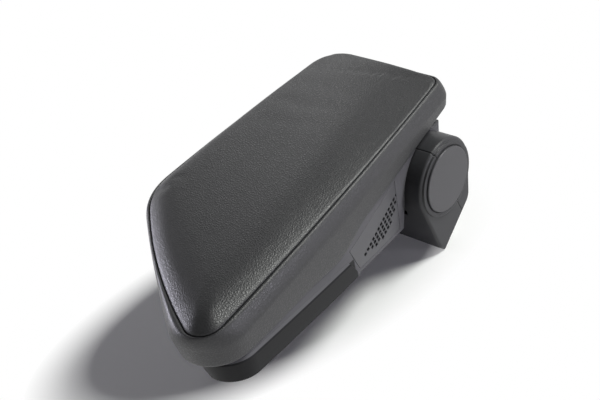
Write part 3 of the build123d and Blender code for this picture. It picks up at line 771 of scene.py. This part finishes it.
@dataclass
class TopPad:
    """The lid's sewn top panel over its foam."""

    plan: LidPlan
    base_z: float = 58.3
    skirt_drop: float = 3.4
    seam_half_gap: float = 0.22
    rise: float = 7.5
    slopes: tuple[tuple[float, float], ...] = ((0.07, 0.60), (0.68, 0.68), (0.80, 1.50), (1.70, 1.70))
    softness: float = 1.7
    blend_reach: float = 6.0
    roll: float = 1.1
    roll_reach: float = 0.55
    insets: tuple[float, ...] = (0.22, 0.5, 0.9, 1.6, 2.7, 4.0, 5.5, 7.2, 9.2, 11.5, 14.0, 17.0, 20.5)
    pressure: float = 3.0
    stretch_stiffness: float = 40.0
    bending_stiffness: float = 12.0
    frames: int = 16
    most_swell: float = 0.9
    creases: tuple[tuple[float, float], ...] = ((-62.0, 0.18), (-38.0, 0.22), (-15.0, 0.16))
    crease_half_length: float = 7.0
    crease_slant: float = 0.12
    crease_wave: float = 2.5
    crease_wave_reach: float = 13.0
    crease_left: tuple[float, float] = (-52.0, -38.0)
    crease_right: tuple[float, float] = (30.0, -4.0)

    def height(self, points: np.ndarray, inset: np.ndarray) -> np.ndarray:
        """Height of the pad above the seam.

        Args:
            points: Plan points.
            inset: Distance of each from the seam.

        Returns:
            Heights in millimetres.
        """
        away, slopes = self.edges(points)
        near = 1.0 / (away + self.blend_reach) ** 2
        away += inset - np.min(away, axis=0)
        short = (self.rise - slopes * away) / self.softness
        fall = np.log1p(np.sum(near / np.sum(near, axis=0) * np.exp(short), axis=0))
        crown = self.rise - self.softness * fall
        return crown - self.roll * np.exp(-(inset - self.seam_half_gap) / self.roll_reach) - self.wear(points)

    def edges(self, points: np.ndarray) -> tuple[np.ndarray, np.ndarray]:
        """Distances of points from the four edges, and those edges' slopes.

        Args:
            points: Plan points.

        Returns:
            For each edge, the distances and the rises per unit of distance.
        """
        distances, slopes = [], []
        for index, (first, last) in enumerate(self.slopes):
            side = self.plan.side(index)
            away = np.linalg.norm(points.reshape(-1, 1, 2) - side[None], axis=2)
            share = np.argmin(away, axis=1) / (len(side) - 1)
            distances.append(np.min(away, axis=1).reshape(points.shape[:-1]))
            slopes.append((first + (last - first) * share).reshape(points.shape[:-1]))
        return np.array(distances), np.array(slopes)

    def wear(self, points: np.ndarray) -> np.ndarray:
        """Depth of the faint creases across the rear of the pad.

        Args:
            points: Plan points.

        Returns:
            Depths in millimetres.
        """
        x, depth = points[..., 0], np.zeros(points.shape[:-1])
        fade = np.ones_like(depth)
        for outer, inner in (self.crease_right, self.crease_left):
            fade *= np.clip((x - outer) / (inner - outer), 0, 1)
        for y, most in self.creases:
            wave = self.crease_wave * np.sin(x / self.crease_wave_reach + y)
            along = points[..., 1] - y - x * self.crease_slant - wave
            depth += most * fade * np.exp(-((along / self.crease_half_length) ** 2))
        return depth

    def inset_of(self, points: np.ndarray, outline: np.ndarray) -> np.ndarray:
        """Distance of points from the seam line."""
        flat = points.reshape(-1, 1, 2)
        return np.min(np.linalg.norm(flat - outline[None], axis=2), axis=1).reshape(points.shape[:-1])

    def build(self, finishes: Finishes) -> bpy.types.Object:
        """Makes the pad as one closed, crowned form.

        Args:
            finishes: The armrest's finishes.

        Returns:
            The pad.
        """
        outline, _ = self.plan.outline()
        maker = MeshMaker()
        skirt, _ = self.plan.moved(-self.seam_half_gap).outline()
        rings = [maker.ring((x, y, z) for x, y in skirt) for z in (self.base_z, SEAM_Z - self.skirt_drop)]
        for inset in self.insets:
            line, _ = self.plan.moved(-inset).outline()
            level = SEAM_Z + self.height(line, np.full(len(line), inset))
            rings.append(maker.ring((x, y, z) for (x, y), z in zip(line, level)))
        for low, high in zip(rings, rings[1:]):
            maker.strip(low, high)
        inner, _ = self.plan.moved(-self.insets[-1]).outline()
        self._cap(maker, inner, rings[-1], lambda p: SEAM_Z + self.height(p, self.inset_of(p, outline)))
        self._cap(maker, skirt, rings[0], lambda p: np.full(p.shape[:-1], self.base_z))
        pad = maker.piece("lid_top_pad", finishes.leather)
        self._swell(pad)
        return pad

    def _cap(
        self,
        maker: MeshMaker,
        edge: np.ndarray,
        ring: Sequence[bmesh.types.BMVert],
        level: Callable[[np.ndarray], np.ndarray],
    ) -> None:
        """Closes a ring with a grid.

        Args:
            maker: The mesh in the making.
            edge: The ring's plan points.
            ring: The ring's vertices.
            level: Height of plan points.
        """
        points = self.plan.fill(edge)
        heights = level(points)
        known = dict(zip(self.plan.grid_edge(), ring))
        grid = []
        for i, line in enumerate(points):
            grid.append([
                known.get((i, j)) or maker.mesh.verts.new(row(x, y, heights[i, j]))
                for j, (x, y) in enumerate(line)
            ])
        maker.patch(grid)

    def _swell(self, pad: bpy.types.Object) -> None:
        """Presses the leather out over its foam with a short cloth run.

        Args:
            pad: The pad, whose own points take the result.
        """
        held = pad.vertex_groups.new(name="sewn")
        edge_z = row(0, 0, SEAM_Z).z
        held.add([v.index for v in pad.data.vertices if v.co.z < edge_z], 1.0, "REPLACE")
        rest = np.array([v.co for v in pad.data.vertices])
        cloth = pad.modifiers.new("swell", "CLOTH")
        settings = cloth.settings
        settings.vertex_group_mass = held.name
        settings.use_pressure = True
        settings.uniform_pressure_force = self.pressure
        settings.tension_stiffness = self.stretch_stiffness
        settings.compression_stiffness = self.stretch_stiffness
        settings.bending_stiffness = self.bending_stiffness
        settings.effector_weights.gravity = 0
        cloth.collision_settings.use_collision = False
        cloth.point_cache.frame_end = self.frames
        scene = bpy.context.scene
        for step in range(1, self.frames + 1):
            scene.frame_set(step)
        posed = pad.evaluated_get(bpy.context.evaluated_depsgraph_get())
        swollen = np.array([v.co for v in posed.data.vertices])
        pad.modifiers.remove(cloth)
        pad.vertex_groups.remove(held)
        scene.frame_set(1)
        moved = swollen - rest
        size = np.linalg.norm(moved, axis=1)
        limit = self.most_swell * MM
        moved *= (limit * np.tanh(size / limit) / np.maximum(size, 1e-12))[:, None]
        pad.data.vertices.foreach_set("co", (rest + moved).astype(np.float32).ravel())
        pad.data.update()


@dataclass
class SideBand:
    """The lid's leather side band, from the seam down to its turned-in lower edge."""

    plan: LidPlan
    wall_plan: LidPlan
    top: tuple[tuple[float, float, float], ...] = (
        (0.45, 0.45, -7.0), (0.22, 0.22, -3.0), (0.24, 0.24, -1.3), (0.42, 0.42, -0.6), (0.9, 0.8, -0.3),
        (1.6, 1.1, -0.35), (2.3, 1.4, -0.95), (3.1, 1.7, -2.3), (3.9, 1.9, -4.2), (4.7, 1.85, -6.6),
        (5.4, 1.6, -9.2), (5.85, 1.25, -11.6),
    )
    crest: tuple[float, float, float] = (6.0, 1.0, 53.0)
    low: tuple[float, float, float] = (0.0, -2.5, 10.0)
    feel_levels: tuple[float, ...] = (22.0, 25.0, 28.0, 31.0, 34.0, 37.0, 40.0, 43.0)
    feel_depth: float = 0.8
    feel_below: float = 0.1
    wall_steps: int = 9
    turn: tuple[tuple[float, float], ...] = (
        (0.0, 1.3), (-0.1, 0.7), (-0.4, 0.2), (-0.9, 0.0), (-1.4, 0.15), (-1.65, 0.8), (-1.7, 4.0)
    )
    back_depth: float = 2.4
    back_drop: float = 10.0

    def wall(self, z: np.ndarray) -> np.ndarray:
        """Points of the band's lower wall at given levels.

        Args:
            z: One level for each point of the seam, in millimetres about the fold axis.

        Returns:
            Plan points.
        """
        high, _ = self.wall_plan.moved(*self.crest[:2]).outline()
        low, _ = self.wall_plan.moved(*self.low[:2]).outline()
        share = ((z - self.low[2]) / (self.crest[2] - self.low[2]))[:, None]
        return low + (high - low) * share

    def lower_edge(self, outward: np.ndarray) -> np.ndarray:
        """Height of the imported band's lower edge under each point of the seam.

        Args:
            outward: The seam's outward directions.

        Returns:
            Heights about the fold axis, in millimetres.
        """
        node = frame["nodes"]["cover_band"]
        found = np.full((len(self.feel_levels), len(outward)), np.nan)
        for k, level in enumerate(self.feel_levels):
            under = self.wall(np.full(len(outward), level)) - outward * self.feel_depth
            for i, (x, y) in enumerate(under):
                start = row(x, y, 0.0)
                start.z = CAD_BOX[0].z - self.feel_below
                hit, place, _, _ = node.ray_cast(start, Vector((0, 0, 1)))
                if hit:
                    found[k, i] = place.z / MM - FOLD_AXIS.z
        return np.nanmin(found, axis=0)

    def build(self, finishes: Finishes) -> bpy.types.Object:
        """Makes the band as one closed skin.

        Args:
            finishes: The armrest's finishes.

        Returns:
            The band.
        """
        _, outward = self.wall_plan.outline()
        edge = self.lower_edge(outward)
        profile = []
        crest = self.crest[2]
        for out, front_out, drop in self.top:
            sewn, _ = self.plan.moved(out, front_out).outline()
            wall, _ = self.wall_plan.moved(out, front_out).outline()
            share = max(out - self.top[0][0], 0.0) / (self.crest[0] - self.top[0][0])
            profile.append((sewn + (wall - sewn) * share, np.full(len(edge), SEAM_Z + drop)))
        for share in np.linspace(0, 1, self.wall_steps):
            level = crest + (edge + self.turn[0][1] - crest) * share
            profile.append((self.wall(level), level))
        for out, lift in self.turn[1:]:
            profile.append((self.wall(edge) + outward * out, edge + lift))
        back = np.full(len(edge), SEAM_Z - self.back_drop)
        profile.append((self.wall(back) - outward * self.back_depth, back))
        maker = MeshMaker()
        rings = [maker.ring((x, y, z) for (x, y), z in zip(line, level)) for line, level in profile]
        for low, high in zip(rings, rings[1:] + rings[:1]):
            maker.strip(low, high)
        return maker.piece("lid_side_band", finishes.leather)


@dataclass
class SeamWelt:
    """The sewn edge at the bottom of the seam, drawn in by each stitch."""

    plan: LidPlan
    depth: float = 1.7
    radius: float = 0.45
    pull: float = 0.12
    stitches: int = 230
    sides: int = 8
    repeats: int = 4

    def build(self, finishes: Finishes) -> bpy.types.Object:
        """Makes the welt as a closed loop.

        Args:
            finishes: The armrest's finishes.

        Returns:
            The welt.
        """
        points, outward = self.plan.outline()
        count = len(points) * self.repeats
        steps = np.arange(count) / self.repeats
        closed = np.arange(len(points))
        dense = [np.interp(steps, closed, values, period=len(points)) for values in (*points.T, *outward.T)]
        maker = MeshMaker()
        rings = []
        for i, (x, y, nx, ny) in enumerate(zip(*dense)):
            radius = self.radius - self.pull * abs(math.cos(math.pi * self.stitches * i / count))
            ring = []
            for turn in range(self.sides):
                angle = 2 * math.pi * turn / self.sides
                out, up = radius * math.cos(angle), radius * math.sin(angle)
                ring.append((x + nx * out, y + ny * out, SEAM_Z - self.depth + up))
            rings.append(maker.ring(ring))
        for low, high in zip(rings, rings[1:] + rings[:1]):
            maker.strip(low, high)
        return maker.piece("seam_welt", finishes.seam)


@dataclass(frozen=True)
class Lid:
    """The padded lid, with the plan of its wall and the plan of its sewn line."""

    wall: LidPlan = LidPlan()
    sewn: LidPlan = LidPlan(
        nose_y=-268.0,
        short_side_y=-164.5,
        nose_in=7.8,
        bulges=(3.4, 9.0, 3.4, 0.4),
        seam_radii=(9.0, 14.2, 47.0, 30.0),
    )

    def build(self, finishes: Finishes) -> list[bpy.types.Object]:
        """Makes the soft pieces and sets them in the frame.

        Args:
            finishes: The armrest's finishes.

        Returns:
            The pieces.
        """
        pad = TopPad(self.sewn).build(finishes)
        band = SideBand(self.sewn, self.wall).build(finishes)
        welt = SeamWelt(self.sewn).build(finishes)
        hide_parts("cover_top", "lid_foam")
        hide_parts("cover_band")
        for made in (pad, band, welt):
            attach(made, Body.LID.value)
            log.info("piece %s: %d faces", made.name, len(made.data.polygons))
        return [pad, band, welt]


@dataclass(frozen=True)
class LeafSpring:
    """The bowed leaf behind the release button."""

    node: str = "button_spring"
    joint: str = "button_press"
    strip_mm: float = 0.5
    spare_mm: float = 0.3
    steps: int = 20
    smooth_deg: float = 40.0

    def build(self, finishes: Finishes) -> bpy.types.Object:
        """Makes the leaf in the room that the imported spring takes.

        Args:
            finishes: The armrest's finishes.

        Returns:
            The leaf.
        """
        joint = next(joint for joint in frame["joints"] if joint["name"] == self.joint)
        along = Vector(joint["axis"]).normalized()
        across = Vector((0, 0, 1)).cross(along).normalized()
        rise = along.cross(across)
        corners = [vertex.co for vertex in frame["nodes"][self.node].data.vertices]
        reaches = [[corner.dot(way) for corner in corners] for way in (along, across, rise)]
        (start, end), (left, right), (low, high) = ((min(reach), max(reach)) for reach in reaches)
        strip = self.strip_mm * MM
        maker = MeshMaker()
        rings = []
        for share in np.linspace(0, 1, self.steps):
            level = low + (high - low - strip) * math.sin(math.pi * share)
            middle = along * (start + (end - start) * float(share))
            corner = [(left, level), (right, level), (right, level + strip), (left, level + strip)]
            rings.append([maker.mesh.verts.new(middle + across * x + rise * z) for x, z in corner])
        for near, far in zip(rings, rings[1:]):
            maker.strip(near, far)
        for ring in (rings[0], rings[-1]):
            maker.mesh.faces.new(ring)
        leaf = maker.piece("latch_leaf_spring", finishes.fastener)
        leaf.data.set_sharp_from_angle(angle=math.radians(self.smooth_deg))
        travel = max(abs(limit) for limit in joint["range_m"]) + self.spare_mm * MM
        seat = along * end + across * (left + right) / 2 + rise * low
        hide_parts(self.node)
        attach(leaf, Body.ARM.value)
        1.0 - travel / (end - start)
        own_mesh(leaf)
        log.info("piece %s: %d faces", leaf.name, len(leaf.data.polygons))
        return leaf


@dataclass(frozen=True)
class Hardware:
    """The rigid nodes of the frame and the finish that each one takes."""

    smooth_deg: float = 28.0
    finish_of: dict[str, str] = field(default_factory=lambda: {
        "lid_carrier": "inner", "lid_lining": "lining", "lid_screws": "fastener",
        "arm_shell": "shell", "vent_grille": "grille", "release_button": "shell",
        "tray_liner": "inner", "tray_mat": "lining", "hinge_deck": "inner",
        "arm_bracket": "steel", "pivot_bushes": "acetal", "lid_hinge_pin": "steel",
        "latch_bracket": "steel", "button_spring": "fastener", "keel_screws": "fastener",
        "base_front_cover": "foot", "base_rear_cover": "foot", "base_bracket": "steel",
        "end_cap_left": "cap", "end_cap_right": "cap", "pivot_shaft": "steel",
        "friction_rings": "acetal", "spring_washer": "fastener", "shaft_nut": "fastener",
        "cover_screws": "fastener",
    })

    def dress(self, finishes: Finishes) -> None:
        """Gives every rigid node its finish and smooth faces.

        Args:
            finishes: The armrest's finishes.
        """
        for name, finish in self.finish_of.items():
            node = frame["nodes"][name]
            node.data.materials.clear()
            node.data.materials.append(getattr(finishes, finish))
            node.data.shade_smooth()
            node.data.set_sharp_from_angle(angle=math.radians(self.smooth_deg))
            log.info("node %s: %s", name, finish)


@dataclass(frozen=True)
class Softbox:
    """One soft studio lamp, aimed at the armrest."""

    name: str
    direction: Point
    distance: float
    size: float
    power: float
    colour: Colour

    def build(self, target: Vector) -> None:
        """Sets the lamp up.

        Args:
            target: The point that it faces.
        """
        lamp = bpy.data.lights.new(self.name, "AREA")
        lamp.shape = "DISK"
        lamp.size = self.size
        lamp.energy = self.power
        lamp.color = self.colour
        made = bpy.data.objects.new(self.name, lamp)
        made.visible_camera = False
        toward = Vector(self.direction).normalized()
        turned = toward.to_track_quat("Z", "Y").to_matrix().to_4x4()
        made.matrix_world = Matrix.Translation(target + toward * self.distance) @ turned
        bpy.context.scene.collection.objects.link(made)


@dataclass(frozen=True)
class Studio:
    """Pale floor, soft lamps and the camera."""

    lens_mm: float = 60.0
    sensor_mm: float = 36.0
    camera_at: Point = (447.3, -465.5, 488.2)
    right: Point = (0.753, 0.621, -0.2175)
    up: Point = (-0.277, 0.599, 0.7512)
    clip: tuple[float, float] = (0.05, 50.0)
    floor_half: float = 4.0
    floor_steps: int = 8
    floor_grey: float = 0.93
    white_from: float = 0.152
    white_to: float = 0.210
    patch_squeeze: Point = (1.0, 2.16, 1.0)
    patch_turn: float = 1.143
    patch_at: tuple[float, float] = (-0.033, -0.124)
    sky: float = 0.05
    dim_from: float = 0.30
    dim_to: float = 0.52
    dimming: float = 0.85
    lamps: tuple[Softbox, ...] = (
        Softbox("rear_softbox", (0.40, 0.56, 0.72), 1.3, 0.45, 17.0, (0.98, 1.0, 0.96)),
        Softbox("left_softbox", (-0.96, -0.22, 0.09), 3.0, 0.55, 44.0, (0.88, 0.86, 1.0)),
        Softbox("right_softbox", (0.92, 0.385, 0.05), 3.0, 0.50, 25.0, (0.90, 0.88, 1.0)),
        Softbox("back_softbox", (-0.58, 0.62, 0.53), 1.5, 0.45, 2.5, (1.0, 1.0, 1.0)),
    )

    def build(self) -> None:
        """Sets the whole studio up."""
        low, high = CAD_BOX
        target = (low + high) / 2
        for lamp in self.lamps:
            lamp.build(target)
        self._world()
        self._floor(low.z)
        self._camera()
        bpy.context.scene.view_settings.view_transform = "Standard"

    def _seen(self, s: Shader) -> Socket:
        """Tells the rays that show the background: from the camera, or by gloss or glass.

        Args:
            s: The shader that asks.

        Returns:
            One for such rays, or else zero.
        """
        kinds = ("Is Camera Ray", "Is Glossy Ray", "Is Transmission Ray")
        camera, glossy, through = (s.node("ShaderNodeLightPath", output=kind) for kind in kinds)
        return (camera + glossy + through).at_most(1.0)

    def _world(self) -> None:
        """A soft even sky, white to the eye near the horizon and dimmer overhead."""
        world = bpy.data.worlds.new("studio")
        world.use_nodes = True
        bpy.context.scene.world = world
        s = Shader(world.node_tree)
        toward = s.node("ShaderNodeTexCoord", output="Generated")
        height = s.node("ShaderNodeSeparateXYZ", None, {0: toward}, "Z")
        overhead = height.ramp(self.dim_from, self.dim_to)
        strength = self.sky + self._seen(s) * (1.0 - self.sky) * (1.0 - overhead * self.dimming)
        sky = s.node("ShaderNodeBackground", None, {"Color": WHITE, "Strength": strength})
        s.node("ShaderNodeOutputWorld", None, {"Surface": sky})

    def _floor(self, level: float) -> None:
        """A pale floor that fades to white away from the armrest.

        Args:
            level: Height of the floor.
        """
        maker = bmesh.new()
        steps = self.floor_steps
        bmesh.ops.create_grid(maker, x_segments=steps, y_segments=steps, size=self.floor_half)
        data = bpy.data.meshes.new("floor")
        maker.to_mesh(data)
        maker.free()
        floor = bpy.data.objects.new("floor", data)
        floor.location = (*self.patch_at, level)
        floor.rotation_euler.z = self.patch_turn
        bpy.context.scene.collection.objects.link(floor)
        made, s = Shader.material("pale_floor")
        squeezed = s.node(
            "ShaderNodeVectorMath", {"operation": "MULTIPLY"}, {0: s.place(), 1: self.patch_squeeze}
        )
        away = s.node("ShaderNodeVectorMath", {"operation": "LENGTH"}, {0: squeezed}, "Value")
        fade = away.ramp(self.white_from, self.white_to)
        plain = s.node("ShaderNodeBsdfDiffuse", None, {"Color": (*[self.floor_grey] * 3, 1.0)})
        white = s.node("ShaderNodeEmission", None, {"Color": WHITE, "Strength": 1.0})
        mixed = s.node("ShaderNodeMixShader", None, {0: fade * self._seen(s), 1: plain, 2: white})
        s.node("ShaderNodeOutputMaterial", None, {"Surface": mixed})
        data.materials.append(made)

    def _camera(self) -> None:
        """The camera at the photograph's viewing angle."""
        lens = bpy.data.cameras.new("camera")
        lens.lens = self.lens_mm
        lens.sensor_width = self.sensor_mm
        lens.clip_start, lens.clip_end = self.clip
        right = Vector(self.right).normalized()
        back = right.cross(Vector(self.up)).normalized()
        turned = Matrix((right, back.cross(right), back)).transposed().to_4x4()
        made = bpy.data.objects.new("camera", lens)
        made.matrix_world = Matrix.Translation(row(*self.camera_at)) @ turned
        bpy.context.scene.collection.objects.link(made)
        bpy.context.scene.camera = made


def write_sizes() -> None:
    """Brings the view layer up to date."""
    bpy.context.view_layer.update()


def main() -> None:
    """Builds the studio and dresses the armrest, piece by piece."""
    logging.basicConfig(level=logging.INFO, format="%(name)s %(message)s")
    Studio().build()
    finishes = Finishes()
    Hardware().dress(finishes)
    LeafSpring().build(finishes)
    Lid().build(finishes)
    write_sizes()


if __name__ == "__main__":
    main()
